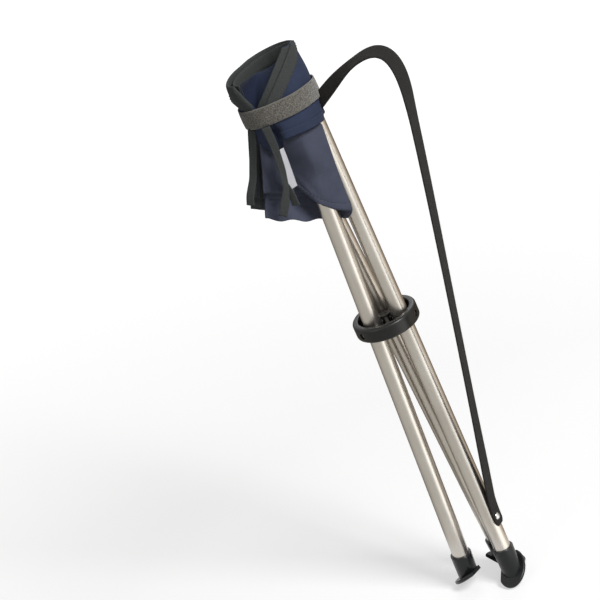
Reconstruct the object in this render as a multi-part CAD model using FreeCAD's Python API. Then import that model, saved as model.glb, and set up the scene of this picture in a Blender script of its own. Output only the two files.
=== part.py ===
"""Three-legged folding stool, folded, with its carry strap held out. Millimetres and degrees, +Z up."""
import FreeCAD
import Part
import math
import os
from FreeCAD import Placement, Rotation, Vector

os.makedirs("parts", exist_ok=True)

# Hub centre in the part's frame, whose origin is the middle of the underside of the box
HUB = Vector(21.4, -0.35, 345.6)

# Upward direction, seen from the hub, of the floor that all three feet touch
FLOOR_UP = Vector(0.01725, -0.0363, 1)

# Legs: azimuth of each pin, and how far each leg already stands open in the folded state
PIN_AZIMUTH = {"left": 210.0, "right": 330.0, "rear": 90.0}
REST_OPENING = {"left": 5.0, "right": 0.0, "rear": 2.5}
FULL_OPENING = 32.0
PIN_CIRCLE = 18.0
TUBE_R = 9.5
TUBE_WALL = 1.2
TUBE_TOP = 285.0
TUBE_BOTTOM = -320.0
FIT = 0.05

# Hub ring, its three webs, pins and spacers
RING_R = 35.6
RING_BORE = 28.8
RING_HEIGHT = 17.0
RING_ROUND = 3.2
RING_INNER_ROUND = 1.2
CORE_R = 6.5
CORE_HEIGHT = 13.0
WEB_THICK = 3.0
WEB_HEIGHT = 11.0
PIN_R = 2.5
PIN_INNER = 3.6
PIN_OUTER = 33.6
DIMPLE_R = 3.4
DIMPLE_DEPTH = 1.8
WASHER_R = 5.0
WASHER_FROM = 27.6
WASHER_THICK = 0.6
SPACER_FROM = 6.8
SPACER_THICK = 1.5

# Top plug and foot
PLUG_CAP = 2.5
PLUG_ROUND = 1.0
PLUG_STEM = 14.0
SOCKET_R = 11.3
SOCKET_RIM_R = 11.9
SOCKET_TOP = -303.0
SOCKET_ROUND = 0.8
SOLE_S = -333.0
SOLE_TILT = FULL_OPENING
SOLE_SHORT = 16.2
SOLE_LONG = 22.8
# Flats on the sole that clear the other feet when folded: direction, distance from the leg
SOLE_FLATS = [(180.0, 12.2), (124.0, 14.7)]
SOLE_THICK = 4.0
SOLE_ROUND = 1.6
PAD_MARGIN = 2.6
PAD_SINK = 1.2
PAD_PROUD = 0.5

# Cloth: corner pockets
CLOTH = 0.9
POCKET_IN = 10.1
POCKET_OUT = 11.2
POCKET_TOP = 289.0
POCKET_CAP = 1.1
POCKET_BOTTOM = {"right": 243.0, "rear": 126.0}
# The front pocket: height, reach to the left and right, distance of its front and of its right-hand corner
FRONT_POCKET = [(118.0, 19.0, 21.0, 12.4, 8.0), (236.0, 20.0, 24.0, 12.4, -2.0),
                (262.0, 13.0, 16.0, 12.2, 6.0), (POCKET_TOP, 5.0, 3.5, 11.3, 11.3)]
FRONT_POCKET_WALL = 1.0
FRONT_POCKET_CORNER = 1.5
HEM_POINT = Vector(-29.0, 0, 183.0)
HEM_TIP = Vector(10.7, 0, 133.0)

# Cloth: seat, a triangle cut into six sixths that meet at its centre and at the middles of its sides
SEAT_CORNER = 170.0
SEAT_CORNER_CUT = 17.0
SEAT_GAP = 0.4
SEAT_ABOVE_TIP = 6.0
SEAT_BESIDE_TIP = 4.0
TAPE_WIDTH = 9.0
TAPE_OUT = 0.7
TAPE_CLEAR = 0.2
TAPE_THICK = 0.5
# How each sixth hangs when folded: depth, lean of its long side, turn about the upright, aim of its corner
SEAT_FOLD = {
    "left_a": (-8.4, 7.5, -4.0, (-18.0, 317.0)),
    "left_b": (-5.7, 2.0, -2.4, (-11.0, 306.0)),
    "right_b": (-3.0, 8.0, -0.8, (-26.0, 307.0)),
    "rear_a": (-0.3, 10.0, 0.8, (-19.0, 293.0)),
    "rear_b": (2.4, 10.0, 2.4, (-26.5, 305.0)),
    "right_a": (5.1, 2.0, 0.5, (9.0, 322.0)),
}

# Cloth: collar wrapped round the leg tops, its bound edges, and the hook-and-loop band
COLLAR_MID = Vector(-12.6, -6.8, 0)
COLLAR_HALF_X = 42.0
COLLAR_HALF_Y = 39.3
COLLAR_END_R = 34.0
COLLAR_WALL = 1.4
COLLAR_SLIDE = 76.0
COLLAR_LOW = 200.0
COLLAR_HIGH = 350.0
RIM_POINT = Vector(-14.0, -6.0, 316.0)
RIM_NORMAL = Vector(-0.17, 0.045, 1)
LOWER_POINT = Vector(15.0, -40.0, 241.0)
LOWER_NORMAL = Vector(0.17, -0.1, 1)
BAND_POINT = Vector(-12.6, -6.8, 270.5)
BAND_NORMAL = Vector(-0.035, 0.155, 1)
BAND_WIDTH = 20.5
BAND_CLEAR = 0.3
BAND_THICK = 1.6
NECK = [Vector(-49, 0, 310), Vector(-36.5, 0, 284.5), Vector(18, 0, 331)]
NECK_BACK_Y = -8.0
FRONT_DEPTH = 90.0
BINDING = 12.0
INNER_EDGE = (0.4, 6.0)
FRONT_EDGE = (6.8, BINDING)
RIM_GAP = (-2.0, 21.0)
STRIP_BELOW = 40.0
STRIP_ABOVE = 8.0
BINDING_CLEAR = 0.3
BINDING_THICK = 0.8
LOOP_TOP = Vector(-32.0, -46.5, 262.0)
LOOP_END = Vector(-50.0, -49.0, 170.0)
LOOP_WIDTH = 9.0
LOOP_THICK = 1.4
LABEL_TOP = Vector(-30.0, -39.0, 232.0)
LABEL_END = Vector(-34.0, -38.0, 186.0)
LABEL_WIDTH = 11.0
LABEL_THICK = 0.5
LABEL_TURN = 40.0

# Carry strap, in the upright plane through the right leg
STRAP_AZIMUTH = 320.0
STRAP_WIDTH = 15.0
STRAP_THICK = 1.4
STRAP_ON_TUBE = TUBE_R + 0.3 + STRAP_THICK / 2
STRAP_TAIL_Z = -272.0
STRAP_LEAVES_Z = -248.0
STRAP_PEEL_R = 40.0
STRAP_GRIP = (141.0, 331.0)
STRAP_GRIP_R = 40.0
STRAP_ROOT = (12.0, 257.0)
STRAP_SLOT = (4.5, 19.0)
STRAP_SLOT_BACK = 3.0
RIVET_Z = -261.5
RIVET_SHANK = 2.0
RIVET_HEAD_R = 4.0
RIVET_HEAD_H = 2.2
RIVET_TAIL_R = 2.8
RIVET_TAIL = (6.2, 7.7)

UP = Vector(0, 0, 1)
FAR = 400.0
STAND = Placement(HUB, Rotation(FLOOR_UP, UP))


def save(name, shape):
    """Moves a shape from the hub's frame to the part's and exports it."""
    shape = shape.copy()
    shape.Placement = STAND.multiply(shape.Placement)
    if not shape.isValid() or shape.Volume <= 0:
        raise ValueError("bad solid " + name)
    shape.exportStep("parts/" + name + ".step")
    box = shape.BoundBox
    limits = [round(v, 1) for v in (box.XMin, box.XMax, box.YMin, box.YMax, box.ZMin, box.ZMax)]
    print(name, "solids", len(shape.Solids), "volume", round(shape.Volume, 1), "box", limits)


def radial(azimuth):
    a = math.radians(azimuth)
    return Vector(math.cos(a), math.sin(a), 0)


def leg_frame(leg):
    """X along the pin, Z up the leg, origin where the pin crosses the leg."""
    turn = Rotation(UP, PIN_AZIMUTH[leg]) * Rotation(Vector(1, 0, 0), -REST_OPENING[leg])
    return Placement(radial(PIN_AZIMUTH[leg]) * PIN_CIRCLE, turn)


def on_leg(leg, shape):
    shape = shape.copy()
    shape.Placement = leg_frame(leg).multiply(shape.Placement)
    return shape


def rod(radius, low, high):
    return Part.makeCylinder(radius, high - low, Vector(0, 0, low))


def pipe(inner, outer, low, high):
    return rod(outer, low, high).cut(rod(inner, low - 1, high + 1))


def spoke(radius, start, end, azimuth):
    """A cylinder along a radius of the hub."""
    out = radial(azimuth)
    return Part.makeCylinder(radius, end - start, out * start, out)


def beyond(point, normal):
    """All the space on the side of a plane that its normal points to."""
    block = Part.makeBox(2 * FAR, 2 * FAR, FAR, Vector(-FAR, -FAR, 0))
    block.Placement = Placement(point, Rotation(UP, normal))
    return block


def prism(points, direction):
    return Part.Face(Part.makePolygon(points + points[:1])).extrude(direction)


def rounded(shape, radius, wanted):
    """Rounds the circular or oval edges that a test picks."""
    edges = [e for e in shape.Edges if wanted(e)]
    return shape.makeFillet(radius, edges)


# Hub
ring = pipe(RING_BORE, RING_R, -RING_HEIGHT / 2, RING_HEIGHT / 2)
ring = rounded(ring, RING_ROUND, lambda e: hasattr(e.Curve, "Radius") and abs(e.Curve.Radius - RING_R) < 0.01)
ring = rounded(ring, RING_INNER_ROUND,
               lambda e: hasattr(e.Curve, "Radius") and abs(e.Curve.Radius - RING_BORE) < 0.01
               and abs(abs(e.BoundBox.ZMin) - RING_HEIGHT / 2) < 0.01 and e.BoundBox.ZLength < 0.01)
hub = ring.fuse(rod(CORE_R, -CORE_HEIGHT / 2, CORE_HEIGHT / 2))
for azimuth in PIN_AZIMUTH.values():
    web = Part.makeBox(RING_BORE + 1, WEB_THICK, WEB_HEIGHT, Vector(0, -WEB_THICK / 2, -WEB_HEIGHT / 2))
    web.rotate(Vector(0, 0, 0), UP, azimuth + 60)
    hub = hub.fuse(web)
for azimuth in PIN_AZIMUTH.values():
    hub = hub.cut(spoke(PIN_R + FIT, PIN_INNER - FIT, RING_R + 1, azimuth))
    hub = hub.cut(spoke(DIMPLE_R, RING_R - DIMPLE_DEPTH, RING_R + 1, azimuth))
save("hub", hub.removeSplitter())
for leg, azimuth in PIN_AZIMUTH.items():
    save("pin_" + leg, spoke(PIN_R, PIN_INNER, PIN_OUTER, azimuth))


def spacers(start, thick):
    """One flat ring on each pin."""
    rings = []
    for azimuth in PIN_AZIMUTH.values():
        hole = spoke(PIN_R + FIT, start - 1, start + thick + 1, azimuth)
        rings.append(spoke(WASHER_R, start, start + thick, azimuth).cut(hole))
    return Part.makeCompound(rings)


save("pin_washers", spacers(WASHER_FROM, WASHER_THICK))
save("pin_spacers", spacers(SPACER_FROM, SPACER_THICK))

# Legs: tube, top plug, foot and sole pad
pin_hole = Part.makeCylinder(PIN_R + FIT, 4 * TUBE_R, Vector(-2 * TUBE_R, 0, 0), Vector(1, 0, 0))
tube = pipe(TUBE_R - TUBE_WALL, TUBE_R, TUBE_BOTTOM, TUBE_TOP).cut(pin_hole)
plug = rod(TUBE_R, TUBE_TOP + FIT, TUBE_TOP + PLUG_CAP)
plug = rounded(plug, PLUG_ROUND, lambda e: e.BoundBox.ZMin > TUBE_TOP + 1 and e.BoundBox.ZLength < 0.01)
plug = plug.fuse(rod(TUBE_R - TUBE_WALL - FIT, TUBE_TOP - PLUG_STEM, TUBE_TOP + 1)).removeSplitter()
sole_frame = Placement(Vector(0, 0, SOLE_S), Rotation(Vector(1, 0, 0), SOLE_TILT))


def oval_slab(margin, low, high):
    """An oval plate in the sole's own plane."""
    long_end = Vector(0, SOLE_LONG - margin, low)
    short_end = Vector(SOLE_SHORT - margin, 0, low)
    oval = Part.Ellipse(long_end, short_end, Vector(0, 0, low))
    return Part.Face(Part.Wire(oval.toShape())).extrude(Vector(0, 0, high - low))


def on_sole(plate, margin):
    """Cuts the flats and places a plate on the foot."""
    for turn, distance in SOLE_FLATS:
        plate = plate.cut(beyond(radial(turn) * (distance - margin), radial(turn)))
    plate.Placement = sole_frame
    return plate


flange = oval_slab(0, -SOLE_THICK / 2, SOLE_THICK / 2)
flange = flange.makeFillet(SOLE_ROUND, [e for e in flange.Edges if e.BoundBox.ZLength < 0.01])
flange = on_sole(flange, 0)
recess = on_sole(oval_slab(PAD_MARGIN - FIT, -SOLE_THICK, -SOLE_THICK / 2 + PAD_SINK), PAD_MARGIN - FIT)
pad_low = -SOLE_THICK / 2 - PAD_PROUD
pad = on_sole(oval_slab(PAD_MARGIN, pad_low, -SOLE_THICK / 2 + PAD_SINK - FIT), PAD_MARGIN)
under_sole = beyond(sole_frame.Base, sole_frame.Rotation.multVec(Vector(0, 0, -1)))
socket = Part.makeCone(SOCKET_R, SOCKET_RIM_R, SOCKET_TOP - SOLE_S, Vector(0, 0, SOLE_S))
socket = socket.fuse(rod(SOCKET_R, SOLE_S - 2 * TUBE_R, SOLE_S)).cut(under_sole)
socket = rounded(socket, SOCKET_ROUND,
                 lambda e: abs(e.BoundBox.ZMin - SOCKET_TOP) < 0.01 and e.BoundBox.ZLength < 0.01)
foot = socket.fuse(flange).removeSplitter()
foot = foot.cut(recess).cut(rod(TUBE_R + FIT, TUBE_BOTTOM - FIT, SOCKET_TOP + 1))
strap_out = radial(STRAP_AZIMUTH)
right_axis = leg_frame("right").Base
rivet_hole = Part.makeCylinder(RIVET_SHANK + FIT, 2 * TUBE_R, right_axis + UP * RIVET_Z, strap_out)
for leg in PIN_AZIMUTH:
    placed = on_leg(leg, tube)
    if leg == "right":
        placed = placed.cut(rivet_hole)
    save("tube_" + leg, placed)
    save("top_plug_" + leg, on_leg(leg, plug))
    save("foot_" + leg, on_leg(leg, foot))
    save("sole_pad_" + leg, on_leg(leg, pad))
    sole = STAND.multiply(leg_frame(leg)).multiply(sole_frame)
    at = sole.multVec(UP * pad_low)
    down = sole.Rotation.multVec(UP * -1)
    print("sole", leg, "at", [round(v, 4) for v in at], "normal", [round(v, 6) for v in down])

# Corner pockets: two snug ones, and the wide one that hangs in front of the left leg
for leg, low in POCKET_BOTTOM.items():
    sleeve = pipe(POCKET_IN, POCKET_OUT, low, POCKET_TOP)
    sleeve = sleeve.fuse(rod(POCKET_OUT, POCKET_TOP, POCKET_TOP + POCKET_CAP)).removeSplitter()
    save("pocket_" + leg, on_leg(leg, sleeve))


def pocket_wire(left, right, face, face_right, back, s):
    """A flat front slanted back to its right-hand corner, straight sides and a round back on the leg."""
    frame = Rotation(UP, -PIN_AZIMUTH["left"])

    def place(x, y):
        return frame.multVec(Vector(x, y, 0)) + UP * s

    def touch(x, y, side):
        angle = math.atan2(y, x) + side * math.acos(back / math.hypot(x, y))
        return back * math.cos(angle), back * math.sin(angle)

    corner_r, corner_l = (right, -face_right), (-left, -face)
    side_r = touch(*corner_r, 1)
    side_l = touch(*corner_l, -1)
    mid = math.atan2(side_r[1] + side_l[1], side_r[0] + side_l[0])
    rear = (back * math.cos(mid), back * math.sin(mid))
    arc = Part.Arc(place(*side_r), place(*rear), place(*side_l)).toShape()
    front = Part.makeLine(place(*corner_l), place(*corner_r))
    right_side = Part.makeLine(place(*corner_r), place(*side_r))
    left_side = Part.makeLine(place(*side_l), place(*corner_l))
    return Part.Wire([front, right_side, arc, left_side])


def pocket_loft(trim, drop, rise):
    """The front pocket's form, with its walls moved in by a trim and its ends moved out."""
    wires = []
    moved = [-drop] + [0] * (len(FRONT_POCKET) - 2) + [rise]
    for (height, left, right, face, face_right), move in zip(FRONT_POCKET, moved):
        narrow = FRONT_POCKET_CORNER * trim
        faces = (face - trim, face_right - trim)
        wires.append(pocket_wire(left - narrow, right - narrow, *faces, POCKET_OUT - trim, height + move))
    return Part.makeLoft(wires, True, True)


front_pocket = pocket_loft(0, 0, POCKET_CAP).cut(pocket_loft(FRONT_POCKET_WALL, 1, 0))
front_pocket = front_pocket.cut(rod(POCKET_IN, FRONT_POCKET[0][0] - 1, POCKET_TOP))
hem = HEM_TIP - HEM_POINT
front_pocket = on_leg("left", front_pocket).cut(beyond(HEM_TIP, Vector(hem.z, 0, -hem.x)))
save("pocket_left", front_pocket)

# Seat sixths, built flat where they lie when the stool stands open, then folded back beside the legs
full = math.radians(FULL_OPENING)
seat_z = (TUBE_TOP + SEAT_ABOVE_TIP) * math.cos(full) + (TUBE_R + SEAT_BESIDE_TIP) * math.sin(full)
corner_lead = math.degrees(math.atan2(TUBE_TOP * math.sin(full), PIN_CIRCLE))
floor_z = SOLE_S * math.cos(full) - SOLE_THICK / 2 - PAD_PROUD
print("open: seat height", round(seat_z - floor_z, 1), "seat side", round(SEAT_CORNER * math.sqrt(3), 1))


def seat_shapes(corner, middle):
    """A sixth of the seat and the tape folded over its outer edge, flat in the plane z = 0."""
    centre = Vector(0, 0, 0)
    edge = (middle - corner).normalize()
    inward = centre - middle
    inward.normalize()
    along = (centre - corner).normalize()
    side = (middle - corner) - along * (middle - corner).dot(along)
    side.normalize()
    corner_in = corner + along * SEAT_CORNER_CUT + side * SEAT_GAP
    corner_out = corner + edge * (SEAT_CORNER_CUT / along.dot(edge))
    centre_in = centre - along * SEAT_GAP * 3 + side * SEAT_GAP
    middle_in = middle - edge * SEAT_GAP
    panel = prism([corner_in, corner_out, middle_in, centre_in], UP * CLOTH)
    panel.translate(UP * (-CLOTH / 2))
    taper = along * (TAPE_WIDTH / side.dot(edge) - SEAT_CORNER_CUT)
    outer = [corner_out - inward * TAPE_OUT, middle_in - inward * TAPE_OUT, middle_in + inward * TAPE_WIDTH,
             corner_in + taper, corner_in]
    half = CLOTH / 2 + TAPE_CLEAR + TAPE_THICK
    tape = prism(outer, UP * (2 * half))
    tape.translate(UP * -half)
    room = CLOTH / 2 + TAPE_CLEAR
    back = inward * (2 * TAPE_WIDTH)
    reach = edge * (3 * TAPE_WIDTH)
    hollow = [corner_out - reach - inward * TAPE_CLEAR, middle_in + reach - inward * TAPE_CLEAR,
              middle_in + reach + back, corner_out - reach + back]
    slot = prism(hollow, UP * (2 * room))
    slot.translate(UP * -room)
    return panel, tape.cut(slot)


for name, (depth, lean, fan, aim) in SEAT_FOLD.items():
    leg, half = name.split("_")
    lead = PIN_AZIMUTH[leg] + corner_lead
    turn = 60 if half == "a" else -60
    corner = radial(lead) * SEAT_CORNER
    middle = radial(lead + turn) * (SEAT_CORNER / 2)
    panel, tape = seat_shapes(corner, middle)
    pivot = radial(PIN_AZIMUTH[leg]) * PIN_CIRCLE
    close_leg = Rotation(radial(PIN_AZIMUTH[leg]), FULL_OPENING - REST_OPENING[leg])
    lift = Placement(UP * seat_z, Rotation())
    to_leg = Placement(pivot - close_leg.multVec(pivot), close_leg).multiply(lift)
    inward = to_leg.Rotation.multVec(radial(lead) * -1)
    top_side = to_leg.Rotation.multVec(UP)
    hang = Rotation(UP, -fan).multVec(Vector(math.sin(math.radians(lean)), 0, -math.cos(math.radians(lean))))
    face = Rotation(UP, -fan).multVec(Vector(0, -1 if half == "a" else 1, 0))
    folded = Rotation(hang, face.cross(hang), face, "XYZ")
    spread = Rotation(inward, top_side.cross(inward), top_side, "XYZ")
    fold = folded.multiply(spread.inverted())
    start = to_leg.multVec(corner)
    goal = Vector(aim[0], depth, aim[1])
    axis, angle = fold.Axis, fold.Angle
    if angle > math.pi:
        axis, angle = axis * -1, 2 * math.pi - angle
    shift = Vector(axis.x, 0, axis.z)
    shift.normalize()
    goal = goal - shift * (axis.dot(goal - start) / axis.dot(shift))
    step = goal - start
    hinge = (start + goal) * 0.5 + axis.cross(step) * (0.5 / math.tan(angle / 2))
    move = Placement(hinge - fold.multVec(hinge), fold).multiply(to_leg)
    for kind, shape in (("seat_", panel), ("edge_tape_", tape)):
        shape.Placement = move.multiply(shape.Placement)
        save(kind + name, shape)
    at = STAND.multVec(hinge)
    opens = STAND.Rotation.multVec(axis * -1)
    print("hinge", name, "at", [round(v, 3) for v in at], "axis", [round(v, 6) for v in opens],
          "range", round(math.degrees(angle), 3))


# Collar, bindings and band
def oval_prism(offset):
    """A four-arc oval round the leg tops, grown by an offset and drawn out upwards."""
    end_r = COLLAR_END_R
    end_x = COLLAR_HALF_X - end_r
    side_r = (end_x ** 2 + COLLAR_HALF_Y ** 2 - end_r ** 2) / (2 * (COLLAR_HALF_Y - end_r))
    side_y = side_r - COLLAR_HALF_Y
    join = math.degrees(math.atan2(side_y, end_x))
    arcs = []
    quarters = [((end_x, 0), end_r, -join, join), ((0, -side_y), side_r, join, 180 - join),
                ((-end_x, 0), end_r, 180 - join, 180 + join), ((0, side_y), side_r, 180 + join, 360 - join)]
    for centre, radius, start, stop in quarters:
        hub_of_arc = COLLAR_MID + Vector(centre[0], centre[1], COLLAR_LOW)
        points = [hub_of_arc + radial(a) * (radius + offset) for a in (start, (start + stop) / 2, stop)]
        arcs.append(Part.Arc(*points).toShape())
    return Part.Face(Part.Wire(arcs)).extrude(UP * (COLLAR_HIGH - COLLAR_LOW))


def wall(inner, outer):
    return oval_prism(outer).cut(oval_prism(inner))


def plane_up(point, distance):
    return point + UP * distance


def through_front(points, back):
    """An upright outline drawn through the front wall, as far back as a given y."""
    shape = prism(points, Vector(0, back + FRONT_DEPTH, 0))
    shape.translate(Vector(0, -FRONT_DEPTH, 0))
    return shape


neck_top = UP * (COLLAR_HIGH - NECK[0].z)
neck_cut = through_front(NECK + [NECK[2] + neck_top, NECK[0] + neck_top], NECK_BACK_Y)
above_rim = beyond(RIM_POINT, RIM_NORMAL)
below_collar = beyond(LOWER_POINT, LOWER_NORMAL * -1)
strap_slot = Part.makeBox(2 * COLLAR_HALF_X, STRAP_SLOT[1], STRAP_SLOT[0],
                          Vector(-STRAP_SLOT_BACK, -STRAP_SLOT[1] / 2, -STRAP_SLOT[0] / 2))
strap_rise = math.degrees(math.atan2(STRAP_GRIP[1] - STRAP_ROOT[1], STRAP_GRIP[0] - STRAP_ROOT[0]))
strap_slot.Placement = Placement(right_axis + strap_out * STRAP_ROOT[0] + UP * STRAP_ROOT[1],
                                 Rotation(UP, STRAP_AZIMUTH) * Rotation(Vector(0, 1, 0), -strap_rise))
collar = wall(-COLLAR_WALL, 0).cut(above_rim).cut(below_collar).cut(neck_cut).cut(strap_slot)
save("collar", collar)

outside = BINDING_CLEAR + BINDING_THICK
rim_tape = wall(-COLLAR_WALL - outside, outside).cut(beyond(plane_up(RIM_POINT, outside), RIM_NORMAL))
rim_tape = rim_tape.cut(beyond(plane_up(RIM_POINT, -BINDING), RIM_NORMAL * -1)).cut(neck_cut)
room = wall(-COLLAR_WALL - BINDING_CLEAR, BINDING_CLEAR)
room = room.cut(beyond(plane_up(RIM_POINT, BINDING_CLEAR), RIM_NORMAL))
neck_slope = (NECK[2] - NECK[1]).normalize()
neck_side = Vector(neck_slope.z, 0, -neck_slope.x)
band_top = beyond(plane_up(BAND_POINT, BAND_WIDTH / 2 + 1), BAND_NORMAL * -1)


def slanted_strip(offset, width, back=NECK_BACK_Y):
    """A strip beside the neck's right-hand edge, right through the front wall."""
    a = NECK[1] - neck_slope * STRIP_BELOW + neck_side * offset
    b = NECK[2] + neck_slope * STRIP_ABOVE + neck_side * offset
    return through_front([a, b, b + neck_side * width, a + neck_side * width], back)


front_wall = wall(BINDING_CLEAR, outside).cut(beyond(plane_up(RIM_POINT, -1), RIM_NORMAL)).cut(band_top)
inner_edge = front_wall.common(slanted_strip(*INNER_EDGE))
front_edge = front_wall.common(slanted_strip(*FRONT_EDGE))
rim_tape = rim_tape.cut(room).cut(slanted_strip(*RIM_GAP, NECK_BACK_Y + 1)).cut(band_top)
save("rim_binding", max(rim_tape.Solids, key=lambda s: s.Volume))
save("inner_edge_binding", max(inner_edge.Solids, key=lambda s: s.Volume))
save("front_edge_binding", max(front_edge.Solids, key=lambda s: s.Volume))

band = wall(BAND_CLEAR, BAND_CLEAR + BAND_THICK)
band = band.cut(beyond(plane_up(BAND_POINT, BAND_WIDTH / 2), BAND_NORMAL))
band = band.cut(beyond(plane_up(BAND_POINT, -BAND_WIDTH / 2), BAND_NORMAL * -1))
save("hook_and_loop_band", band)


def strip(top, end, width, thick, turn):
    """A flat piece hanging from one point to another, turned about its own length."""
    length = (end - top).Length
    piece = Part.makeBox(width, thick, length, Vector(-width / 2, -thick / 2, 0))
    piece.Placement = Placement(top, Rotation(UP, end - top) * Rotation(UP, turn))
    return piece


save("hanging_loop", strip(LOOP_TOP, LOOP_END, LOOP_WIDTH, LOOP_THICK, 0))
save("care_label", strip(LABEL_TOP, LABEL_END, LABEL_WIDTH, LABEL_THICK, LABEL_TURN))


# Carry strap: straight runs and arcs in the plane of distance from the leg (q) and height (z)
def unit(q, z):
    size = math.hypot(q, z)
    return q / size, z / size


def fillet(before, corner, after, radius):
    """Start, middle and end of the arc that rounds a corner, and the angle that it turns."""
    back = unit(before[0] - corner[0], before[1] - corner[1])
    on = unit(after[0] - corner[0], after[1] - corner[1])
    half = math.acos(back[0] * on[0] + back[1] * on[1]) / 2
    reach = radius / math.tan(half)
    middle = unit(back[0] + on[0], back[1] + on[1])
    depth = radius / math.sin(half)
    centre = (corner[0] + middle[0] * depth, corner[1] + middle[1] * depth)
    ends = [(corner[0] + d[0] * reach, corner[1] + d[1] * reach) for d in (back, on)]
    return ends[0], centre, ends[1], math.pi - 2 * half


tail = (STRAP_ON_TUBE, STRAP_TAIL_Z)
peel = (STRAP_ON_TUBE, STRAP_LEAVES_Z)
bends = [fillet(tail, peel, STRAP_GRIP, STRAP_PEEL_R), fillet(peel, STRAP_GRIP, STRAP_ROOT, STRAP_GRIP_R)]


def in_plane(q, z):
    return right_axis + strap_out * q + UP * z


def strap_side(offset):
    """Edges of one face of the strap; a positive offset is to the left of the way from tail to root."""
    edges = []
    points = [tail] + [p for bend in bends for p in (bend[0], bend[2])] + [STRAP_ROOT]

    def moved(point, toward):
        return point[0] - toward[1] * offset, point[1] + toward[0] * offset

    for index in range(0, len(points), 2):
        a, b = points[index], points[index + 1]
        toward = unit(b[0] - a[0], b[1] - a[1])
        a, b = moved(a, toward), moved(b, toward)
        edges.append(Part.LineSegment(in_plane(*a), in_plane(*b)).toShape())
        if index // 2 < len(bends):
            start, centre, stop, turned = bends[index // 2]
            left = (start[0] - centre[0]) * -toward[1] + (start[1] - centre[1]) * toward[0] > 0
            radius = math.hypot(start[0] - centre[0], start[1] - centre[1]) + (offset if left else -offset)
            mid = unit((start[0] + stop[0]) / 2 - centre[0], (start[1] + stop[1]) / 2 - centre[1])
            ends = [unit(p[0] - centre[0], p[1] - centre[1]) for p in (start, stop)]
            arc = [(centre[0] + d[0] * radius, centre[1] + d[1] * radius) for d in (ends[0], mid, ends[1])]
            edges.append(Part.Arc(*[in_plane(*p) for p in arc]).toShape())
    return edges


one = strap_side(STRAP_THICK / 2)
other = strap_side(-STRAP_THICK / 2)
caps = [Part.makeLine(one[0].Vertexes[0].Point, other[0].Vertexes[0].Point),
        Part.makeLine(one[-1].Vertexes[-1].Point, other[-1].Vertexes[-1].Point)]
outline = Part.Wire(Part.__sortEdges__(one + other + caps))
across = UP.cross(strap_out)
strap = Part.Face(outline).extrude(across * STRAP_WIDTH)
strap.translate(across * (-STRAP_WIDTH / 2))
strap = strap.cut(rivet_hole)
middle_line = strap_side(0)
length = sum(e.Length for e in middle_line)
print("strap radii", STRAP_PEEL_R, STRAP_GRIP_R, "length", round(length, 1), "volume", round(strap.Volume, 1),
      "section times length", round(length * STRAP_WIDTH * STRAP_THICK, 1))
for edge in middle_line:
    ends = [STAND.multVec(edge.Vertexes[end].Point) for end in (0, -1)]
    print("strap run", [[round(v, 2) for v in end] for end in ends])
save("carry_strap", strap)

head_at = STRAP_ON_TUBE + STRAP_THICK / 2 + FIT
dome_r = (RIVET_HEAD_R ** 2 + RIVET_HEAD_H ** 2) / (2 * RIVET_HEAD_H)
foot_of_rivet = right_axis + UP * RIVET_Z
dome = Part.makeSphere(dome_r, foot_of_rivet + strap_out * (head_at + RIVET_HEAD_H - dome_r))
dome = dome.common(beyond(foot_of_rivet + strap_out * head_at, strap_out))
rivet = dome.fuse(Part.makeCylinder(RIVET_SHANK, head_at + 0.5 - RIVET_TAIL[0],
                                    foot_of_rivet + strap_out * RIVET_TAIL[0], strap_out))
rivet = rivet.fuse(Part.makeCylinder(RIVET_TAIL_R, RIVET_TAIL[1] - RIVET_TAIL[0],
                                     foot_of_rivet + strap_out * RIVET_TAIL[0], strap_out)).removeSplitter()
save("strap_rivet", rivet)
for leg, azimuth in PIN_AZIMUTH.items():
    at = STAND.multVec(radial(azimuth) * PIN_CIRCLE)
    swing = STAND.Rotation.multVec(radial(azimuth) * -1)
    print("hinge", leg, "at", [round(v, 3) for v in at], "axis", [round(v, 6) for v in swing],
          "range", FULL_OPENING - REST_OPENING[leg])
drop = STAND.Rotation.multVec(UP * -1)
print("collar slide", round(COLLAR_SLIDE, 1), "along", [round(v, 6) for v in drop])
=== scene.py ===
"""Looks of the folding stool: metal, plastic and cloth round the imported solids, in the hub's millimetres."""

import math

import bpy
import numpy as np
from mathutils import Matrix, Vector, noise


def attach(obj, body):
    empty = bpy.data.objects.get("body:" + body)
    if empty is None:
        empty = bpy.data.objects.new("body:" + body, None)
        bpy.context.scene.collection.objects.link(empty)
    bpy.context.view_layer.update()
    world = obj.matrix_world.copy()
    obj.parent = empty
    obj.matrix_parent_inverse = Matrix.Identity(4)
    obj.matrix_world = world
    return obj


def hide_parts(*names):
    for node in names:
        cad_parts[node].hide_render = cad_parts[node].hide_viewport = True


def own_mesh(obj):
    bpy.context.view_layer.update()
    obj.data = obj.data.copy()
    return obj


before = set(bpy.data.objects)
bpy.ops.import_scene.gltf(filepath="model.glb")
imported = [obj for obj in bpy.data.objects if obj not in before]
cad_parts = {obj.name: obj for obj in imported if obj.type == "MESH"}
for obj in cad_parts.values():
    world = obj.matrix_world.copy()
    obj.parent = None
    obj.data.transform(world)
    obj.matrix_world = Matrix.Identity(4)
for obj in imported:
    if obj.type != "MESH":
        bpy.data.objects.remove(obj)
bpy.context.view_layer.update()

# Where the hub's centre is in the part's frame, and the floor's upward direction seen from the hub
HUB = np.array([21.4, -0.35, 345.6])
FLOOR_UP = Vector((0.01725, -0.0363, 1.0))
LEAN = np.array(FLOOR_UP.rotation_difference(Vector((0, 0, 1))).to_matrix())

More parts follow.
